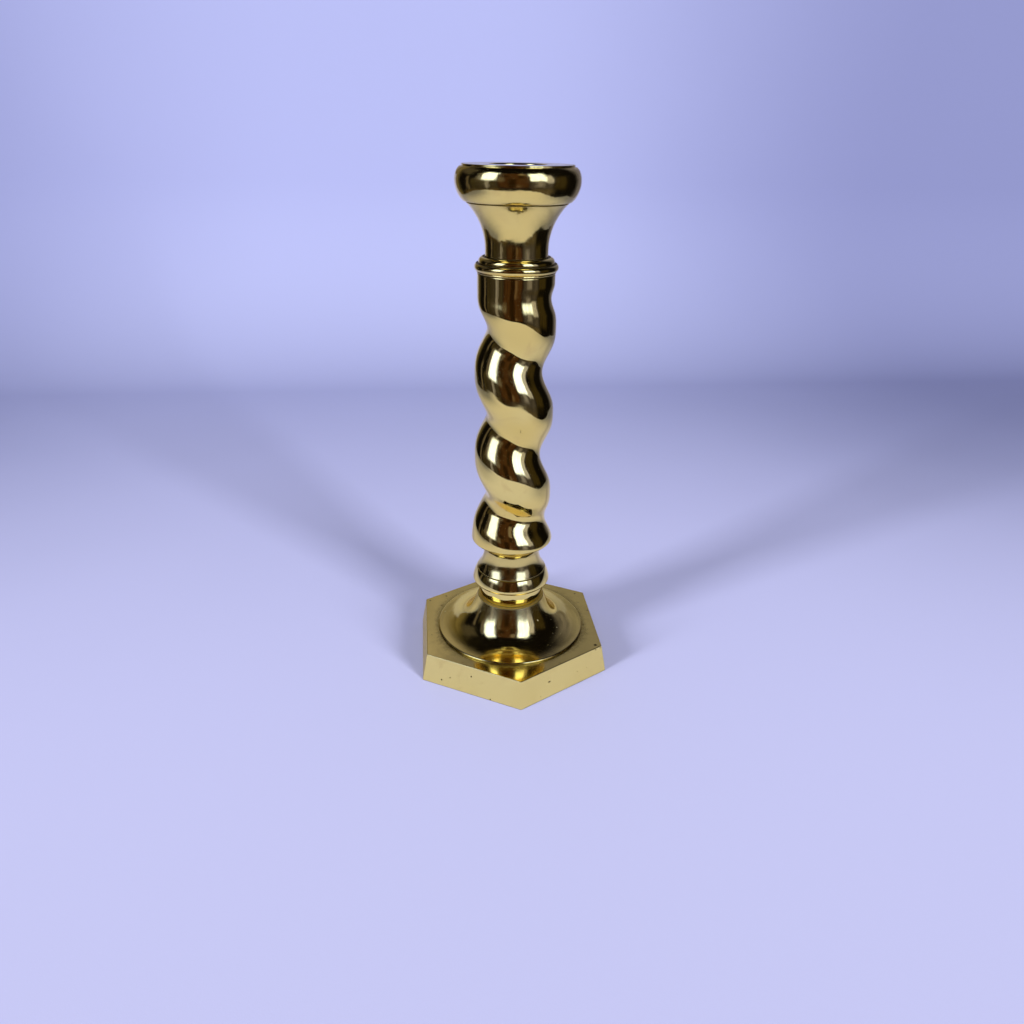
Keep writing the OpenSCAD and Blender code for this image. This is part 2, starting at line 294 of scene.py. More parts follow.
# Twisted stem, in millimetres above its lower seam
STEM_H = (COLLAR_Z - STEM_Z) / MM
RIDGE_LOW_R = 17.9
RIDGE_HIGH_R = 17.5
GROOVE_DEPTH = 5.4
LEAD = 38.55
START_ANGLE = math.radians(225)
RUN_IN_H = 17
RUN_OUT_H = 13
PLAIN_END_H = 3.8
PLAIN_END_R = 16.4
SHOULDER_R = 19.4
SHOULDER_ROUND = 1.5
STEM_EDGE = 0.6


def stem_ring(height, inset=0.0):
    """One ring of the twist: the ridge's radius less the groove, which turns left-handed as it climbs."""
    body = RIDGE_LOW_R + (RIDGE_HIGH_R - RIDGE_LOW_R) * height / STEM_H
    foot = 1 - smooth(height / RUN_IN_H)
    head = smooth((height - STEM_H + PLAIN_END_H + RUN_OUT_H) / (RUN_OUT_H - PLAIN_END_H))
    ridge = body + (SHOULDER_R - body) * foot + (PLAIN_END_R - body) * head
    depth = GROOVE_DEPTH * smooth(height / RUN_IN_H) * smooth((STEM_H - PLAIN_END_H - height) / RUN_OUT_H)
    angles = np.arange(TWIST_STEPS) * 2 * math.pi / TWIST_STEPS
    phase = (angles - START_ANGLE + 2 * math.pi * height / LEAD) / 2
    radii = ridge - depth * np.abs(np.sin(phase)) ** 3 - inset
    return np.stack([radii * np.cos(angles), radii * np.sin(angles), np.full(TWIST_STEPS, height)], 1)


def twist_stem():
    quarter = [math.pi / 2 * i / 9 for i in range(10)]
    outside = [stem_ring(SHOULDER_ROUND * (1 - math.cos(a)), SHOULDER_ROUND * (1 - math.sin(a))) for a in quarter]
    top = STEM_H - STEM_EDGE
    outside += [stem_ring(SHOULDER_ROUND + (top - SHOULDER_ROUND) * (i + 1) / TWIST_RINGS) for i in range(TWIST_RINGS)]
    outside += [stem_ring(top + STEM_EDGE * math.sin(a), STEM_EDGE * (1 - math.cos(a))) for a in quarter[1:]]
    spigot_top = STEM_H + COLLAR_H + REGISTER_H
    register_top = REGISTER_H + REGISTER_RELIEF
    inside = rounded([
        [PLAIN_END_R - STEM_EDGE - 0.3, STEM_H, 0], [REGISTER_R, STEM_H, 0.2], [REGISTER_R, spigot_top, 0.4],
        [CORE_R, spigot_top, 0.3], [CORE_R, register_top, 0.2], [REGISTER_HOLE_R, register_top, 0.2],
        [REGISTER_HOLE_R, 0, 0.3], [SHOULDER_R - SHOULDER_ROUND - 0.3, 0, 0],
    ])
    rings = outside + [circle(r, z, TWIST_STEPS) for r, z in inside]
    lift = STEM_Z / MM
    for ring in rings:
        ring[:, 2] += lift
    # Dirt and painted shade at both seams.
    piece = loft("twist_stem_body", rings, True, [(lift, 0.5, 0.8, 0, 100), (lift + STEM_H, 0.35, 0.9, 0, 100)])
    return piece


# Knop, in millimetres above its seam
KNOP_H = (STEM_Z - KNOP_Z) / MM
LOW_NECK_H = 8.8
LOW_NECK_R = 15.6
LOW_NECK_FOOT_R = 14.8
LOW_NECK_BULGE = 0.7
KNOP_R = 18.7
KNOP_RIM_H = 1.7
KNOP_BAND_H = 5.3
SCRIBE_R = 16.6
KNOP_FLARE_H = 8.7
KNOP_FLARE_HOLLOW = 0.8
KNOP_WAIST_R = 13.5
KNOP_TOP_R = 16.8


def knop():
    rim_z = LOW_NECK_H
    band_z = rim_z + KNOP_RIM_H
    line_z = band_z + KNOP_BAND_H
    waist_z = line_z + KNOP_FLARE_H
    sweep_up = upright_bulge(KNOP_H - waist_z, KNOP_TOP_R - KNOP_WAIST_R)
    outline = [
        [ROD_HOLE_R, KNOP_H + REGISTER_H, 0.3], [ROD_HOLE_R, -REGISTER_H, 0.3], [REGISTER_R, -REGISTER_H, 0.4],
        [REGISTER_R, 0, 0.2], *arc([LOW_NECK_FOOT_R, 0], [LOW_NECK_R, rim_z], LOW_NECK_BULGE),
        [LOW_NECK_R, rim_z, 0.25], [KNOP_R - KNOP_RIM_H / 2, rim_z, 0.2],
        *arc([KNOP_R - KNOP_RIM_H / 2, rim_z], [KNOP_R, band_z], 0.35)[1:],
        *arc([KNOP_R, band_z], [SCRIBE_R + 0.25, line_z - LINE_W], 0.2),
        [SCRIBE_R + 0.25, line_z - LINE_W, 0.12], [SCRIBE_R - LINE_D, line_z, 0.08], [SCRIBE_R, line_z + LINE_W, 0.12],
        *arc([SCRIBE_R, line_z + LINE_W], [KNOP_WAIST_R, waist_z], -KNOP_FLARE_HOLLOW)[1:],
        *arc([KNOP_WAIST_R, waist_z], [KNOP_TOP_R, KNOP_H], -sweep_up), [KNOP_TOP_R, KNOP_H, 0.2],
        [REGISTER_R, KNOP_H, 0.2], [REGISTER_R, KNOP_H + REGISTER_H, 0.4],
    ]
    # Dirt and painted shade at both seams, under the rim and in the scribed line.
    marks = [(0, 0.5, 0.9), (rim_z, 0.4, 0.7, 0, 17), (line_z, 0.3, 0.8), (KNOP_H, 0.5, 0.9)]
    return turned("knop_body", outline, KNOP_Z, marks=marks)


# Foot, in millimetres above its seam
FOOT_H = (KNOP_Z - FOOT_Z) / MM
DECK_T = (FOOT_Z - DECK_Z) / MM
PLATE_R = 36.6
PLATE_EDGE_H = 1.1
PLATE_ROUND = 0.6
FOOT_TOP_R = 16.3
FLARE_TOP_SLOPE = math.radians(22)
FLARE_END_SLOPE = math.radians(86)
FLARE_REACH = 0.6


def domed_foot():
    inner = np.array([PLATE_R - PLATE_ROUND, PLATE_EDGE_H])
    top = np.array([FOOT_TOP_R, FOOT_H])
    reach = FLARE_REACH * (PLATE_R - FOOT_TOP_R)
    low = inner + reach * np.array([-math.sin(FLARE_END_SLOPE), math.cos(FLARE_END_SLOPE)])
    high = top + reach * np.array([math.sin(FLARE_TOP_SLOPE), -math.cos(FLARE_TOP_SLOPE)])
    spigot_h = DECK_T - REGISTER_RELIEF
    register_z = FOOT_H - REGISTER_H - REGISTER_RELIEF
    edge_bulge = PLATE_ROUND * (1 - 1 / math.sqrt(2))
    outline = [
        [REGISTER_R, -spigot_h, 0.4], [REGISTER_R, 0, 0.2], [PLATE_R, 0, 0.12],
        *arc([PLATE_R, PLATE_EDGE_H - PLATE_ROUND], inner, edge_bulge, 8),
        *curve(inner, low, high, top), [*top, 0.2],
        [REGISTER_HOLE_R, FOOT_H, 0.3], [REGISTER_HOLE_R, register_z, 0.2], [ROD_HOLE_R, register_z, 0.3],
        [ROD_HOLE_R, -spigot_h, 0.3],
    ]
    # Dirt and painted shade where the plate stands on the plinth, and at the top seam.
    marks = [(0, 0.35, 1.0, 30, 40), (FOOT_H, 0.6, 0.9)]
    return turned("domed_foot_body", outline, FOOT_Z, marks=marks)


# Plinth, in millimetres
PLINTH_FLATS = 90.4
PLINTH_TAPER = 5.0
PLINTH_H = FOOT_Z / MM
PLINTH_WALL = 5.5
PLINTH_EDGE = 0.28
CORNER_R = 0.45
RECESS_CORNER_R = 3.0
FLAT_STEPS = 12
CORNER_STEPS = 6


def hexagon(flats, height, corner_r):
    """A ring round a hexagon with rounded corners, one corner towards -Y."""
    points = []
    reach = flats / math.sqrt(3) - corner_r / math.cos(math.pi / 6)
    for i in range(6):
        corner = math.radians(60 * i - 90)
        for j in range(CORNER_STEPS + 1):
            a = corner + math.radians(60 * j / CORNER_STEPS - 30)
            points.append([reach * math.cos(corner) + corner_r * math.cos(a),
                           reach * math.sin(corner) + corner_r * math.sin(a)])
        following = math.radians(60 * (i + 1) - 90)
        last = np.array(points[-1])
        first = np.array([reach * math.cos(following) + corner_r * math.cos(following - math.pi / 6),
                          reach * math.sin(following) + corner_r * math.sin(following - math.pi / 6)])
        inset = 0.5 / np.linalg.norm(first - last)
        shares = [inset, *[k / FLAT_STEPS for k in range(1, FLAT_STEPS)], 1 - inset]
        points += [list(last + (first - last) * s) for s in shares]
    ring = np.array(points)
    return np.column_stack([ring, np.full(len(ring), height)])


def hex_plinth():
    deck_z = DECK_Z / MM
    inner_flats = PLINTH_FLATS - 2 * PLINTH_WALL
    guide = hexagon(PLINTH_FLATS, 0, CORNER_R)
    around = np.arctan2(guide[:, 1], guide[:, 0])

    def hole(radius, height):
        return np.column_stack([radius * np.cos(around), radius * np.sin(around), np.full(len(around), height)])

    side = rounded([[inner_flats / 2, 0, 0.3], [PLINTH_FLATS / 2, 0, PLINTH_EDGE],
                    [(PLINTH_FLATS - PLINTH_TAPER) / 2, PLINTH_H, PLINTH_EDGE], [PLATE_R + 4, PLINTH_H, 0]], True, 0.4)
    side = [row for row in side if row[0] > PLATE_R + 2 or row[1] > 0]
    rings = [hexagon(2 * half, z, CORNER_R) for half, z in side if half > inner_flats / 2 + 0.6 or z > 0]
    rings += [hole(PLATE_R - 0.5, PLINTH_H), hole(REGISTER_HOLE_R + 0.3, PLINTH_H), hole(REGISTER_HOLE_R, PLINTH_H - 0.3)]
    rings += [hole(REGISTER_HOLE_R, deck_z + 0.3), hole(REGISTER_HOLE_R + 0.3, deck_z), hole(20, deck_z)]
    recess = rounded([[20, deck_z, 0], [inner_flats / 2, deck_z, 1.6], [inner_flats / 2, 0, 0.4],
                      [inner_flats / 2 + 2, 0, 0]], False, 0.4)
    rings += [hexagon(2 * half, z, RECESS_CORNER_R) for half, z in recess[1:-1]]
    # Dirt and painted shade round the foot's plate, along the bottom edge and on the hollow's deck.
    marks = [(PLINTH_H, 0.2, 0.9, 0, PLATE_R + 0.5), (0, 0.4, 0.5, 0, 100), (deck_z, 4, 0.6, 0, 44)]
    return loft("hex_plinth_body", rings, True, marks)


# Fastening, in millimetres
THREAD_PITCH = 1.0
THREAD_D = 0.5
THREAD_STEPS = 40


def tie_rod():
    low, high = (corner.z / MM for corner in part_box("tie_rod"))
    threads = [(low, low + 22), (high - 12, high)]
    angles = np.arange(THREAD_STEPS) * 2 * math.pi / THREAD_STEPS

    def ring(z):
        edge = min(z - low, high - z)
        radius = np.full(THREAD_STEPS, ROD_R - max(0.0, 0.5 - edge))
        for start, end in threads:
            if start <= z <= end:
                turn = (z / THREAD_PITCH - angles / (2 * math.pi)) % 1
                run_out = 1 - smooth(1 - min(z - start + 2 * (start == low), end - z + 2 * (end == high), 1))
                groove = ROD_R - THREAD_D * np.abs(2 * turn - 1) * run_out
                radius = np.minimum(radius, groove)
        return np.stack([radius * np.cos(angles), radius * np.sin(angles), np.full(THREAD_STEPS, z)], 1)

    heights = []
    for start, end in threads:
        heights += list(np.linspace(start, end, round((end - start) / THREAD_PITCH * 8) + 1))
    return loft("tie_rod_body", [ring(z) for z in heights], False)


PLATE_WASHER_R = 15.0
PLATE_WASHER_T = 1.5


def plate_washer():
    outline = [[ROD_HOLE_R, PLATE_WASHER_T, 0.15], [ROD_HOLE_R, 0, 0.15],
               [PLATE_WASHER_R, 0, 0.3], [PLATE_WASHER_R, PLATE_WASHER_T, 0.2]]
    return turned("plate_washer_body", outline, DECK_Z - PLATE_WASHER_T * MM, steps=96)


SPRING_WASHER_R = 5.9
SPRING_WASHER_T = 1.6
SLIT_W = 0.8
SLIT_LEAN = math.radians(25)
SWEEP_STEPS = 96


def spring_washer():
    """A rectangular section swept round from one side of the slanted slit to the other."""
    section = rounded([[ROD_HOLE_R, 0, 0.2], [SPRING_WASHER_R, 0, 0.2], [SPRING_WASHER_R, SPRING_WASHER_T, 0.2],
                       [ROD_HOLE_R, SPRING_WASHER_T, 0.2]], True)
    radii, heights = section[:, 0], section[:, 1]
    middle = -(heights - SPRING_WASHER_T / 2) * math.tan(SLIT_LEAN)
    half = SLIT_W / 2 / math.cos(SLIT_LEAN)
    start = np.arcsin((middle + half) / radii)
    end = 2 * math.pi + np.arcsin((middle - half) / radii)
    lift = SPRING_WASHER_Z / MM
    rings = []
    for i in range(SWEEP_STEPS + 1):
        a = start + (end - start) * i / SWEEP_STEPS
        rings.append(np.stack([radii * np.cos(a), radii * np.sin(a), heights + lift], 1)[::-1])
    return loft("spring_washer_body", rings, False)


NUT_FLATS = 10.0
NUT_H = 5.0


def base_nut():
    """A hexagon nut whose corners are turned off by a cone at both ends."""
    steps = 144
    corner_r = NUT_FLATS / math.sqrt(3)
    chamfer_h = (corner_r - NUT_FLATS / 2) / 2
    angles = np.arange(steps) * 2 * math.pi / steps
    hexagonal = NUT_FLATS / 2 / np.cos(angles % (math.pi / 3) - math.pi / 6)
    heights = [chamfer_h * i / 8 for i in range(9)]
    heights += [NUT_H - h for h in reversed(heights)]
    lift = NUT_Z / MM
    rings = [circle(r, z + lift, steps) for r, z in ((TAP_R + 0.35, NUT_H), (TAP_R, NUT_H - 0.35), (TAP_R, 0.35), (TAP_R + 0.35, 0))]
    for z in heights:
        cone = NUT_FLATS / 2 - 0.05 + (corner_r - NUT_FLATS / 2 + 0.05) * min(z, NUT_H - z) / chamfer_h
        r = np.minimum(hexagonal, cone)
        rings.append(np.stack([r * np.cos(angles), r * np.sin(angles), np.full(steps, z + lift)], 1))
    return loft("base_nut_body", rings, True)


# Materials

class Paint:
    """A new material's node tree, with short calls for the nodes used here."""

    def __init__(self, name):
        self.material = bpy.data.materials.new(name)
        self.material.use_nodes = True
        self.tree = self.material.node_tree
        self.tree.nodes.clear()

    def add(self, kind, inputs=(), out=0, **settings):
        node = self.tree.nodes.new(kind)
        for key, value in settings.items():
            setattr(node, key, value)
        for key, value in dict(inputs).items():
            if isinstance(value, bpy.types.NodeSocket):
                self.tree.links.new(value, node.inputs[key])
            else:
                node.inputs[key].default_value = value
        return node.outputs[out] if node.outputs else None

    def coordinates(self):
        return self.add("ShaderNodeTexCoord", out="Object")

    def axis(self, vector, name):
        return self.add("ShaderNodeSeparateXYZ", {0: vector}, out=name)

    def stretched(self, scale, turn=(0, 0, 0)):
        return self.add("ShaderNodeMapping", {"Vector": self.coordinates(), "Scale": scale, "Rotation": turn})

    def noise(self, wavelength, detail=2.0, roughness=0.5, vector=None, distortion=0.0):
        return self.add("ShaderNodeTexNoise", {
            "Vector": vector or self.coordinates(), "Scale": 1 / wavelength, "Detail": detail,
            "Roughness": roughness, "Distortion": distortion})

    def math(self, operation, a, b=0.0, clamp=False):
        return self.add("ShaderNodeMath", {0: a, 1: b}, operation=operation, use_clamp=clamp)

    def above(self, value, low, high, strength=1.0):
        """0 below low, strength above high, smooth between."""
        return self.add("ShaderNodeMapRange", {
            "Value": value, "From Min": low, "From Max": high, "To Min": 0.0, "To Max": strength},
            interpolation_type="SMOOTHSTEP")

    def product(self, *factors):
        value = factors[0]
        for factor in factors[1:]:
            value = self.math("MULTIPLY", value, factor)
        return value

    def total(self, *terms):
        value = terms[0]
        for term in terms[1:]:
            value = self.math("ADD", value, term)
        return value

    def most(self, *terms):
        value = terms[0]
        for term in terms[1:]:
            value = self.math("MAXIMUM", value, term)
        return value

    def mix(self, share, a, b):
        return self.add("ShaderNodeMix", {0: share, 6: a, 7: b}, out=2, data_type="RGBA")

    def spots(self, spacing, size, share, vector=None):
        """Round spots of a given size in that share of the cells of a random grid."""
        node = self.tree.nodes.new("ShaderNodeTexVoronoi")
        self.tree.links.new(vector or self.coordinates(), node.inputs["Vector"])
        node.inputs["Scale"].default_value = 1 / spacing
        near = self.above(node.outputs["Distance"], size / spacing, 0.35 * size / spacing)
        red = self.add("ShaderNodeSeparateColor", {0: node.outputs["Color"]})
        return self.product(near, self.math("LESS_THAN", red, share))

    def scratches(self, spacing, turn, share):
        """Fine straight scratches: thin ridges of a long, narrow noise, kept in patches."""
        lines = self.noise(spacing, 1.0, 0.5, self.stretched((1, 0.035, 1), turn))
        ridge = self.math("ABSOLUTE", self.math("SUBTRACT", lines, 0.5))
        thin = self.above(ridge, 0.012, 0.0)
        patch = self.above(self.noise(0.013, 1.0, 0.5, self.stretched((1, 1, 1), turn)), 0.62 - share, 0.72 - share)
        return self.product(thin, patch)

    def bump(self, height, distance=0.001):
        return self.add("ShaderNodeBump", {"Height": height, "Distance": distance, "Strength": 1.0})

    def surface(self, **inputs):
        shader = self.add("ShaderNodeBsdfPrincipled", {k.replace("_", " "): v for k, v in inputs.items()})
        self.add("ShaderNodeOutputMaterial", {"Surface": shader})
        return self.material


BRASS = (0.97, 0.785, 0.255, 1)
BRASS_CLEAN = (1.0, 0.82, 0.275, 1)
BRASS_WARM = (0.94, 0.725, 0.205, 1)
BRASS_FILM = (0.74, 0.52, 0.17, 1)
DULL_BRASS = (0.93, 0.72, 0.205, 1)
# Tarnish on the plinth's top, and the colour of the painted shade towards the tops of the foot and the knop.
TARNISH_AND_SHADE = (0.42, 0.32, 0.12, 1)
EDGE_CLEAN = (1.0, 0.96, 0.90, 1)
EDGE_DULL = (0.86, 0.76, 0.50, 1)
# Dark colour of dirt and of painted shade in seams, grooves, hollows and pits.
GRIME_AND_SHADE = (0.050, 0.032, 0.014, 1)
PIT = (0.11, 0.07, 0.025, 1)
DUST = (0.62, 0.60, 0.56, 1)
STEEL = (0.56, 0.57, 0.58, 1)


def grime_and_shade_mask(paint, spread=0.4):
    """The mesh's own dirt and painted shade, broken up by noise."""
    own = paint.add("ShaderNodeAttribute", out="Fac", attribute_name="grime_and_shade")
    broken = paint.product(paint.math("SUBTRACT", paint.noise(0.0016, 4.0, 0.65), 0.5), spread)
    return paint.above(paint.math("ADD", own, broken), 0.35, 1.0)


def polished_brass(name, polish, wave, ripple, dusty=False, shade_heights=None):
    """Hand-polished brass: wavy reflections, thin films, hairline scratches, small pits, dirt and painted shade left
    in the seams.

    polish is the roughness where it is cleanest, wave the height in mm of the broad unevenness left by the buff,
    ripple that of the short one. dusty adds specks that settled on faces turned upwards. shade_heights gives two
    heights in m between which painted shade makes the brass darker and duller towards the top, dimming its reflections
    there.
    """
    p = Paint(name)
    grime_and_shade = grime_and_shade_mask(p)
    film = p.above(p.noise(0.014, 5.0, 0.62, distortion=0.8), 0.50, 0.72, 0.40)
    warm = p.above(p.noise(0.035, 2.0), 0.4, 0.65)
    pits = p.spots(0.0075, 0.00028, 0.22)
    hair = p.most(p.scratches(0.0011, (0.3, 0.2, 0.9), 0.02), p.scratches(0.0009, (1.2, 0.5, 2.2), 0.0))
    smear = p.noise(0.006, 4.0, 0.6, p.stretched((1, 1, 0.45)))
    colour = p.mix(warm, BRASS, BRASS_WARM)
    colour = p.mix(film, colour, BRASS_FILM)
    # Dirt and painted shade darken and roughen the seams, grooves and hollows; pits take the same dark colour.
    colour = p.mix(p.product(grime_and_shade, 0.9), colour, GRIME_AND_SHADE)
    colour = p.mix(p.product(pits, 0.85), colour, GRIME_AND_SHADE)
    roughness = p.total(polish, p.product(p.above(smear, 0.45, 0.8), 0.04), p.product(film, 0.10),
                        p.product(grime_and_shade, 0.45), p.product(hair, 0.10), p.product(pits, 0.4))
    height = p.total(p.product(p.noise(0.011, 2.0, 0.45), wave), p.product(p.noise(0.0032, 2.0, 0.5), ripple),
                     p.product(p.noise(0.0006, 2.0, 0.5), 0.0006), p.product(hair, -0.0025), p.product(pits, -0.05))
    metallic = 1.0
    # Painted shade: darker, rougher brass from the first of the two heights upwards, which dims the reflections there.
    if shade_heights:
        shaded_top = p.above(p.axis(p.coordinates(), "Z"), *shade_heights)
        colour = p.mix(p.product(shaded_top, 0.3), colour, TARNISH_AND_SHADE)
        roughness = p.total(roughness, p.product(shaded_top, 0.07))
    if dusty:
        specks = p.most(p.spots(0.0042, 0.00030, 0.30), p.spots(0.0021, 0.00014, 0.35),
                        p.spots(0.009, 0.0006, 0.25, p.stretched((1, 2.5, 1), (0.4, 0.1, 0.6))))
        settled = p.above(p.noise(0.012, 2.0), 0.46, 0.6)
        facing = p.axis(p.add("ShaderNodeNewGeometry", out="Normal"), "Z")
        upwards = p.above(facing, 0.15, 0.6)
        flat = p.above(facing, 0.62, 0.95)
        dust = p.product(specks, settled, upwards)
        colour = p.mix(flat, colour, DULL_BRASS)
        roughness = p.total(roughness, p.product(flat, 0.03))
        colour = p.mix(p.product(dust, 0.8), colour, DUST)
        roughness = p.total(roughness, p.product(dust, 0.7))
        height = p.total(height, p.product(dust, 0.08))
        metallic = p.math("SUBTRACT", 1.0, p.product(dust, 0.9))
    return p.surface(Base_Color=colour, Metallic=metallic, Roughness=roughness, Normal=p.bump(height),
                     Specular_Tint=EDGE_DULL if dusty else EDGE_CLEAN)


def plinth_brass():
    """Cast brass, linished on its outer faces and left as cast underneath."""
    p = Paint("cast_brass")
    grime_and_shade = grime_and_shade_mask(p, 0.6)
    top = p.above(p.axis(p.add("ShaderNodeNewGeometry", out="True Normal"), "Z"), 0.6, 0.8)
    as_cast = p.add("ShaderNodeAttribute", out="Fac", attribute_name="as_cast")
    warm = p.above(p.noise(0.028, 3.0), 0.4, 0.65)
    film = p.above(p.noise(0.010, 5.0, 0.65, distortion=0.8), 0.54, 0.76, 0.4)
    pits = p.most(p.spots(0.0046, 0.00060, 0.55), p.spots(0.0125, 0.0011, 0.40, p.stretched((1, 1, 1.8))))
    specks = p.spots(0.0024, 0.00017, 0.3)
    brushed = p.noise(0.0006, 3.0, 0.6, p.stretched((0.05, 0.05, 1)))
    colour = p.mix(warm, BRASS_CLEAN, BRASS)
    colour = p.mix(film, colour, BRASS_FILM)
    colour = p.mix(top, colour, DULL_BRASS)
    colour = p.mix(p.product(p.above(p.noise(0.009, 5.0, 0.65), 0.45, 0.7), top, 0.2), colour, TARNISH_AND_SHADE)
    colour = p.mix(p.product(p.most(pits, p.product(specks, 0.6)), 0.9), colour, PIT)
    # Dirt and painted shade: darker round the foot's plate, along the bottom edge and in the hollow.
    colour = p.mix(p.product(grime_and_shade, 0.45), colour, GRIME_AND_SHADE)
    colour = p.mix(p.product(as_cast, 0.75), colour, (0.20, 0.12, 0.045, 1))
    linished = p.total(0.16, p.product(brushed, 0.10), p.product(film, 0.12), p.product(pits, 0.3))
    satin = p.total(0.10, p.product(film, 0.12), p.product(pits, 0.2))
    finish = p.add("ShaderNodeMix", {0: top, 2: linished, 3: satin})
    roughness = p.total(finish, p.product(as_cast, 0.35), p.product(grime_and_shade, 0.3))
    sand = p.product(p.noise(0.0012, 5.0, 0.7), as_cast)
    height = p.total(p.product(p.noise(0.016, 2.0, 0.45), 0.05), p.product(brushed, 0.0016), p.product(pits, -0.09),
                     p.product(specks, -0.02), p.product(sand, 0.30))
    return p.surface(Base_Color=colour, Metallic=1.0, Roughness=roughness, Normal=p.bump(height),
                     Specular_Tint=EDGE_DULL)


def steel(name, tint, stain):
    """Zinc-grey steel with turned marks and a little rust-brown staining."""
    p = Paint(name)
    stains = p.above(p.noise(0.004, 4.0, 0.65), 0.5, 0.75, stain)
    marks = p.noise(0.0004, 2.0, 0.5, p.stretched((1, 1, 0.2)))
    colour = p.mix(stains, tint, (0.22, 0.13, 0.07, 1))
    roughness = p.total(0.28, p.product(marks, 0.14), p.product(stains, 0.4))
    height = p.total(p.product(marks, 0.004), p.product(p.noise(0.002, 3.0), 0.02))
    return p.surface(Base_Color=colour, Metallic=1.0, Roughness=roughness, Normal=p.bump(height))


# The object

CUP_BRASS = polished_brass("polished_brass_cup", polish=0.11, wave=0.06, ripple=0.075)
TURNED_BRASS = polished_brass("polished_brass_turned", polish=0.06, wave=0.05, ripple=0.010)
TWIST_BRASS = polished_brass("polished_brass_twist", polish=0.075, wave=0.07, ripple=0.012)
# The foot and the knop take painted shade towards their tops, between the two heights given.
FOOT_BRASS = polished_brass("polished_brass_foot", polish=0.085, wave=0.05, ripple=0.020, dusty=True,
                            shade_heights=(0.025, 0.030))
KNOP_BRASS = polished_brass("polished_brass_knop", polish=0.06, wave=0.05, ripple=0.010, shade_heights=(0.0475, 0.0485))
PLINTH_BRASS = plinth_brass()
STEEL_PIECES = steel("steel", STEEL, 0.5)
SPRING_STEEL = steel("spring_steel", (0.36, 0.37, 0.39, 1), 0.3)

PIECES = [
    (candle_cup, "candle_cup", CUP_BRASS, "polished_brass"),
    (collar_ring, "collar_ring", TURNED_BRASS, "polished_brass"),
    (twist_stem, "twist_stem", TWIST_BRASS, "polished_brass"),
    (knop, "knop", KNOP_BRASS, "polished_brass"),
    (domed_foot, "domed_foot", FOOT_BRASS, "polished_brass"),
    (hex_plinth, "hex_plinth", PLINTH_BRASS, "cast_brass"),
    (tie_rod, "tie_rod", STEEL_PIECES, "steel"),
    (plate_washer, "plate_washer", STEEL_PIECES, "steel"),
    (spring_washer, "spring_washer", SPRING_STEEL, "spring_steel"),
    (base_nut, "base_nut", STEEL_PIECES, "steel"),
]
for build, node, material, slot in PIECES:
    piece = build()
    piece.data.materials.append(material)
    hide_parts(node)
    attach(piece, "root")


def mark_as_cast(piece):
    """Marks the plinth's hollow, which was never machined."""
    mesh = piece.data
    co = np.zeros(len(mesh.vertices) * 3)
    mesh.vertices.foreach_get("co", co)
    co = co.reshape(-1, 3) / MM
    sides = [abs(co[:, 0] * math.cos(a) + co[:, 1] * math.sin(a)) for a in (0, math.pi / 3, 2 * math.pi / 3)]
    inside = (np.max(sides, 0) < PLINTH_FLATS / 2 - PLINTH_WALL + 0.05) & (co[:, 2] < PLINTH_H - DECK_T + 0.1) & (co[:, 2] > 0.2)
    layer = mesh.attributes.new("as_cast", "FLOAT", "POINT")
    layer.data.foreach_set("value", inside.astype(np.float32))


mark_as_cast(bpy.data.objects["hex_plinth_body"])


# Stage: a pale floor that sweeps up behind the object, in metres. Polished metal mirrors only a sheet of paper round
# the object, which reflections alone show; the floor is there for the camera and the light.

SWEEP_Y = 0.64
SWEEP_R = 0.19
SWEEP_H = 0.46
FLOOR_REACH = 1.5
SHEET_H = 0.27
SHEET_LEFT = -0.33
SHEET_RIGHT = 0.38
SHEET_LIFT = 0.0003
SHEET_OUTLINE = [(SHEET_LEFT, 0.36), (-0.43, 0.14), (-0.47, -0.02), (-0.46, -0.18), (-0.33, -0.26), (-0.235, -0.31),
                 (-0.135, -0.345), (-0.05, -0.405), (0.05, -0.42), (0.12, -0.405), (0.18, -0.34), (0.22, -0.25),
                 (0.235, -0.14), (0.25, -0.04), (0.31, 0.03), (SHEET_RIGHT, 0.12)]
FLOOR = (0.645, 0.655, 1.0, 1)
# The sheet that only reflections show is paler than the floor: painted light that brightens the metal's reflections of
# the paper.
SHEET_PAINTED_BRIGHTER = (0.695, 0.70, 1.0, 1)
# Deeper colours of the paper towards the back and the sides: painted shade.
FLOOR_BACK_SHADE = (0.352, 0.372, 0.60, 1)
FLOOR_SIDE_SHADE = (0.215, 0.230, 0.410, 1)


def paper(name, front, middle, reach, nearest):
    """Pale lilac paper, with painted shade that deepens its colour towards the back and to both sides.

    middle is the X, and reach the distance from it, at which the sides' painted shade begins and is full. nearest
    gives the two Y between which the sides' painted shade comes in.
    """
    p = Paint(name)
    place = p.add("ShaderNodeNewGeometry", out="Position")
    back, aside = p.axis(place, "Y"), p.axis(place, "X")
    tone = p.product(p.math("SUBTRACT", p.noise(0.35, 2.0), 0.5), 0.10)
    aside = p.math("ABSOLUTE", p.math("SUBTRACT", aside, middle))
    # Painted shade: the paper's colour deepens towards the back and, away from the middle, to both sides.
    colour = p.mix(p.above(p.total(back, tone), -0.12, 0.58), front, FLOOR_BACK_SHADE)
    side_shade = p.product(p.above(back, *nearest), p.above(p.total(aside, tone), 0.10, reach))
    colour = p.mix(side_shade, colour, FLOOR_SIDE_SHADE)
    return p.surface(Base_Color=colour, Roughness=0.9, Specular_IOR_Level=0.0,
                     Normal=p.bump(p.product(p.noise(0.0007, 3.0, 0.6), 0.02)))


FLOOR_PAPER = paper("pale_paper", FLOOR, middle=-0.08, reach=0.62, nearest=(-0.15, 0.45))
SHEET_PAPER = paper("mirrored_paper", SHEET_PAINTED_BRIGHTER, middle=-0.03, reach=0.37, nearest=(-0.30, 0.0))


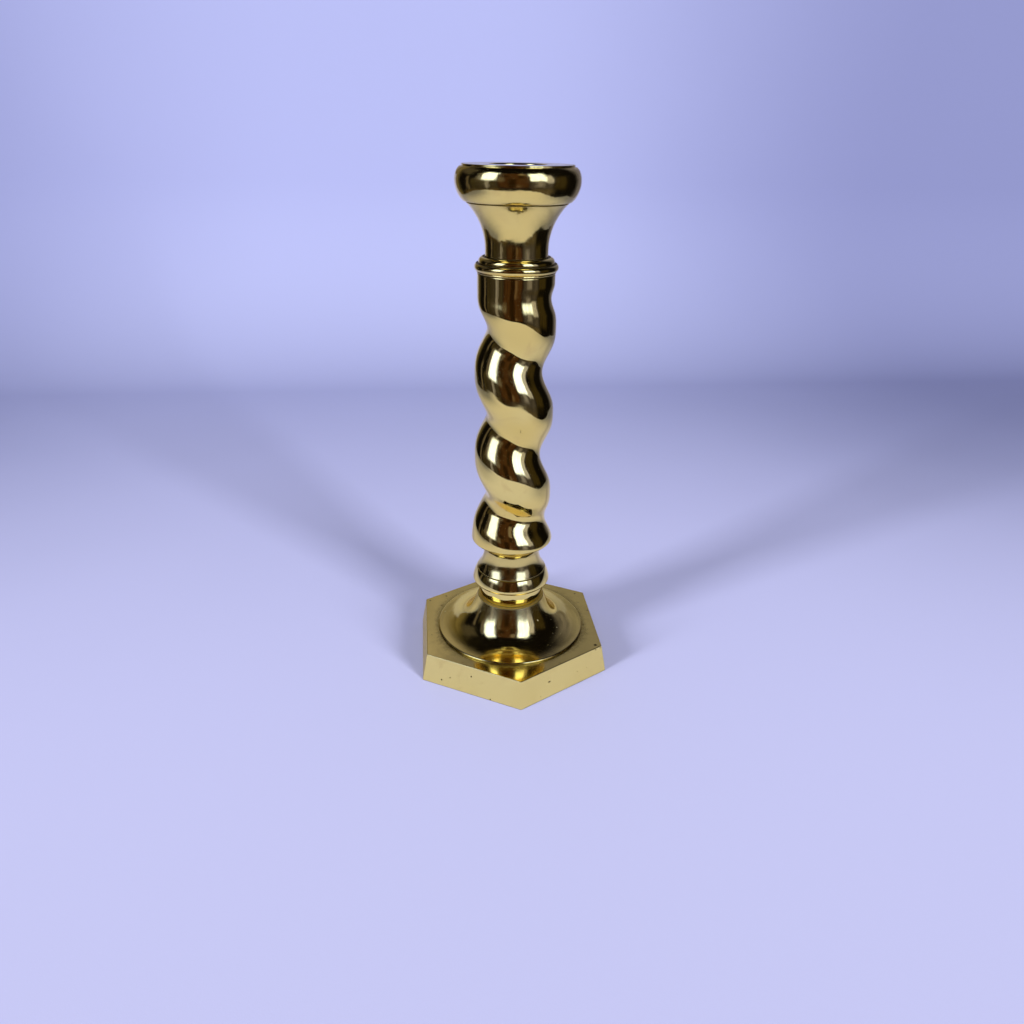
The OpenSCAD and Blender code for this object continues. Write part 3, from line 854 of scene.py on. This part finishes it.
def only_reflected(thing):
    thing.visible_camera = False
    thing.visible_diffuse = False
    thing.visible_shadow = False
    thing.visible_transmission = False
    thing.visible_volume_scatter = False


def stage_mesh(name, verts, faces, material):
    mesh = bpy.data.meshes.new(name)
    mesh.from_pydata(verts, [], faces)
    mesh.shade_smooth()
    mesh.materials.append(material)
    thing = bpy.data.objects.new(name, mesh)
    bpy.context.scene.collection.objects.link(thing)
    return thing


def strip(name, left, right, profile, material, lift=0.0):
    """A sheet of paper between two places along X, following a profile of (y, z)."""
    verts = [(x, y - lift, z + lift) for y, z in profile for x in (left, right)]
    faces = [(2 * i, 2 * i + 1, 2 * i + 3, 2 * i + 2) for i in range(len(profile) - 1)]
    return stage_mesh(name, verts, faces, material)


def floor():
    bend_y = SWEEP_Y - SWEEP_R
    bend = [math.pi / 2 * i / 16 for i in range(17)]
    back = [(bend_y + SWEEP_R * math.sin(a), SWEEP_R * (1 - math.cos(a))) for a in bend]
    seen = strip("floor", -FLOOR_REACH, FLOOR_REACH, [(-FLOOR_REACH, 0.0), *back, (SWEEP_Y, SWEEP_H)], FLOOR_PAPER)
    seen.visible_glossy = False
    only_reflected(strip("mirrored_rise", SHEET_LEFT, SHEET_RIGHT, [*back, (SWEEP_Y, SHEET_H)], SHEET_PAPER, SHEET_LIFT))
    outline = SHEET_OUTLINE
    for _ in range(3):
        outline = [outline[0]] + [
            tuple(a * share + b * (1 - share) for a, b in zip(one, other))
            for one, other in zip(outline, outline[1:]) for share in (0.75, 0.25)] + [outline[-1]]
    corners = [(SHEET_RIGHT, bend_y - SHEET_LIFT), (SHEET_LEFT, bend_y - SHEET_LIFT), *outline]
    verts = [(x, y, SHEET_LIFT) for x, y in corners]
    only_reflected(stage_mesh("mirrored_sheet", verts, [tuple(range(len(verts)))], SHEET_PAPER))


floor()


# Dim room that only the metal's reflections show. Azimuth 0 is towards -Y and grows towards +X. Each row of ROOM
# gives azimuth from and to with the softness of these edges, the same for the elevation, in degrees, and the radiance.

ROOM_R = 1.6
ROOM_CENTRE_Z = 0.10
DARK = (0.004, 0.0035, 0.004, 1)
WINDOW = (1.65, 2.05, 4.1)
ROOM = [
    # Walls behind and beside the paper
    (128, 215, 12, -30, 42, 12, (0.14, 0.14, 0.25)),
    (152, 215, 8, -20, 35, 9, (0.25, 0.25, 0.35)),
    (-215, -140, 12, -30, 40, 12, (0.14, 0.12, 0.09)),
    (-215, -167, 11, -20, 44, 10, (0.33, 0.32, 0.43)),
    (-140, -104, 8, 24, 48, 6, (0.055, 0.050, 0.060)),
    # Table in front of the paper
    (-125, -42, 8, -60, -18, 6, (0.070, 0.050, 0.030)),
    (20, 66, 6, -60, -16, 6, (0.070, 0.058, 0.060)),
    # Brown wood between the windows, with darker doors and lighter boards
    (-42, 12, 5, -16, 50, 4, (0.050, 0.024, 0.015)),
    (-43, -32, 2.5, 8, 30, 5, (0.10, 0.085, 0.105)),
    (-23, -9, 3, -14, 22, 4, (0.018, 0.009, 0.004)),
    (-38, -21, 3, 29, 38, 3, (0.020, 0.011, 0.006)),
    (-5, 5, 2, 24, 38, 3, (0.022, 0.013, 0.006)),
    (-5, 7, 2, 40, 50, 2, (0.20, 0.17, 0.20)),
    (-9, -2, 2, -15, -2, 2, (0.125, 0.085, 0.085)),
    # Furniture on the left
    (-111, -105, 1.5, -16, 18, 4, (0.115, 0.100, 0.125)),
    (-98, -84, 3, -18, 12, 4, (0.036, 0.030, 0.024)),
    (-84, -44, 3, -16, 10, 4, (0.040, 0.034, 0.038)),
    (-87, -42, 3, 8, 41, 4, (0.095, 0.085, 0.120)),
    # Low parts of the windows
    (-67, -59, 2, -16, 16, 4, (0.24, 0.24, 0.43)),
    (15, 62, 3, -16, 39, 4, (0.050, 0.046, 0.075)),
    (27, 40, 4, -10, 14, 6, (0.20, 0.20, 0.36)),
    # Furniture on the right
    (63, 90, 5, -14, 25, 6, (0.034, 0.026, 0.014)),
    # Windows
    (-76, -48, 4, 12, 50, 5, WINDOW),
    (16, 48, 3, 12, 50, 5, WINDOW),
    (46, 59, 3, 4, 37, 5, (0.48, 0.50, 0.90)),
]


def room_material():
    p = Paint("dim_room")
    place = p.add("ShaderNodeVectorMath", {0: p.coordinates()}, operation="NORMALIZE")
    x, y, z = (p.axis(place, name) for name in "XYZ")
    azimuth = p.product(p.math("ARCTAN2", x, p.product(y, -1.0)), math.degrees(1))
    elevation = p.product(p.math("ARCSINE", z), math.degrees(1))
    azimuth = p.total(azimuth, p.product(p.math("SUBTRACT", p.noise(0.16, 2.0, 0.5, place), 0.5), 7))
    elevation = p.total(elevation, p.product(p.math("SUBTRACT", p.noise(0.22, 2.0, 0.5, place), 0.5), 7))
    upright = p.add("ShaderNodeCombineXYZ", {0: p.product(azimuth, 0.4), 1: p.product(elevation, 0.03)})
    streaks = p.total(-0.25, p.product(p.noise(1.0, 3.0, 0.65, upright), 2.5))
    colour = DARK
    for left, right, side_soft, low, high, level_soft, radiance in ROOM:
        inside = p.product(p.above(azimuth, left - side_soft, left + side_soft),
                           p.above(azimuth, right + side_soft, right - side_soft),
                           p.above(elevation, low - level_soft, low + level_soft),
                           p.above(elevation, high + level_soft, high - level_soft))
        colour = p.mix(inside, colour, (*radiance, 1))
    p.add("ShaderNodeOutputMaterial", {"Surface": p.add("ShaderNodeEmission", {"Color": colour, "Strength": streaks})})
    p.material.cycles.emission_sampling = "NONE"
    return p.material


def room(around=96, up=48):
    """A sphere round everything, which also closes the view under the floor."""
    verts = []
    for j in range(up + 1):
        el = math.pi * (j / up - 0.5)
        for i in range(around):
            a = 2 * math.pi * i / around
            verts.append((ROOM_R * math.cos(el) * math.sin(a), -ROOM_R * math.cos(el) * math.cos(a), ROOM_R * math.sin(el)))
    faces = [(j * around + i, j * around + (i + 1) % around, (j + 1) * around + (i + 1) % around, (j + 1) * around + i)
             for j in range(up) for i in range(around)]
    shell = stage_mesh("dim_room", verts, faces, room_material())
    shell.location.z = ROOM_CENTRE_Z
    only_reflected(shell)


room()


# Light on the object: two tall soft lamps in front, left and right, and an even white level from all round.
# The lamps stay out of reflections, where the room's windows stand for them.

LAMP_DISTANCE = 9.0
AMBIENT = 0.225
LAMPS = [("lamp_left", -61, 11, 28.0), ("lamp_right", 36, 14.5, 23.0)]
LAMP_LOW = 5
LAMP_HIGH = 35


def lamp(name, azimuth, width, radiance):
    """A tall soft light that faces the object, given by its azimuth and width in degrees."""
    a, e = math.radians(azimuth), math.radians((LAMP_LOW + LAMP_HIGH) / 2)
    way = Vector((math.sin(a) * math.cos(e), -math.cos(a) * math.cos(e), math.sin(e)))
    data = bpy.data.lights.new(name, "AREA")
    data.shape = "RECTANGLE"
    data.size = 2 * LAMP_DISTANCE * math.tan(math.radians(width / 2))
    data.size_y = 2 * LAMP_DISTANCE * math.tan(math.radians((LAMP_HIGH - LAMP_LOW) / 2))
    data.energy = radiance * math.pi * data.size * data.size_y
    made = bpy.data.objects.new(name, data)
    made.location = way * LAMP_DISTANCE
    made.rotation_mode = "QUATERNION"
    made.rotation_quaternion = way.to_track_quat("Z", "Y")
    made.visible_camera = False
    made.visible_glossy = False
    bpy.context.scene.collection.objects.link(made)


for row in LAMPS:
    lamp(*row)


def world():
    """The same pale colour for the camera and for reflections, and an even white level for everything else."""
    made = bpy.data.worlds.new("studio")
    bpy.context.scene.world = made
    made.use_nodes = True
    tree = made.node_tree
    tree.nodes.clear()
    path = tree.nodes.new("ShaderNodeLightPath")
    seen = path.outputs["Is Camera Ray"]
    for other in ("Is Glossy Ray", "Is Transmission Ray"):
        either = tree.nodes.new("ShaderNodeMath")
        either.operation = "MAXIMUM"
        tree.links.new(seen, either.inputs[0])
        tree.links.new(path.outputs[other], either.inputs[1])
        seen = either.outputs[0]
    pale, level = tree.nodes.new("ShaderNodeBackground"), tree.nodes.new("ShaderNodeBackground")
    pale.inputs["Color"].default_value = (0.50, 0.53, 0.93, 1)
    level.inputs["Color"].default_value = (1, 1, 1, 1)
    level.inputs["Strength"].default_value = AMBIENT
    both = tree.nodes.new("ShaderNodeMixShader")
    tree.links.new(seen, both.inputs[0])
    tree.links.new(level.outputs[0], both.inputs[1])
    tree.links.new(pale.outputs[0], both.inputs[2])
    output = tree.nodes.new("ShaderNodeOutputWorld")
    tree.links.new(both.outputs[0], output.inputs["Surface"])


world()


# Camera, at the photograph's viewing angle

CAMERA_AT = (-0.0373, -0.3296, 0.2390)
CAMERA_HEADING = (0.1112, 0.9938)
CAMERA_PITCH = math.radians(26.065)
CAMERA_ROLL = math.radians(0.986)
CAMERA_LENS = 27.07
CAMERA_SHIFT = 0.0008


def camera():
    data = bpy.data.cameras.new("camera")
    data.sensor_width = 36
    data.lens = CAMERA_LENS
    data.shift_x = CAMERA_SHIFT
    data.clip_start = 0.01
    heading = Vector((*CAMERA_HEADING, 0)).normalized()
    forward = heading * math.cos(CAMERA_PITCH) - Vector((0, 0, math.sin(CAMERA_PITCH)))
    right = Vector((heading.y, -heading.x, 0))
    upward = right.cross(forward)
    turn = Matrix((right, upward, -forward)).transposed() @ Matrix.Rotation(CAMERA_ROLL, 3, "Z")
    seen_by = bpy.data.objects.new("camera", data)
    seen_by.matrix_world = Matrix.Translation(CAMERA_AT) @ turn.to_4x4()
    bpy.context.scene.collection.objects.link(seen_by)
    bpy.context.scene.camera = seen_by


camera()
bpy.context.scene.view_settings.view_transform = "Standard"
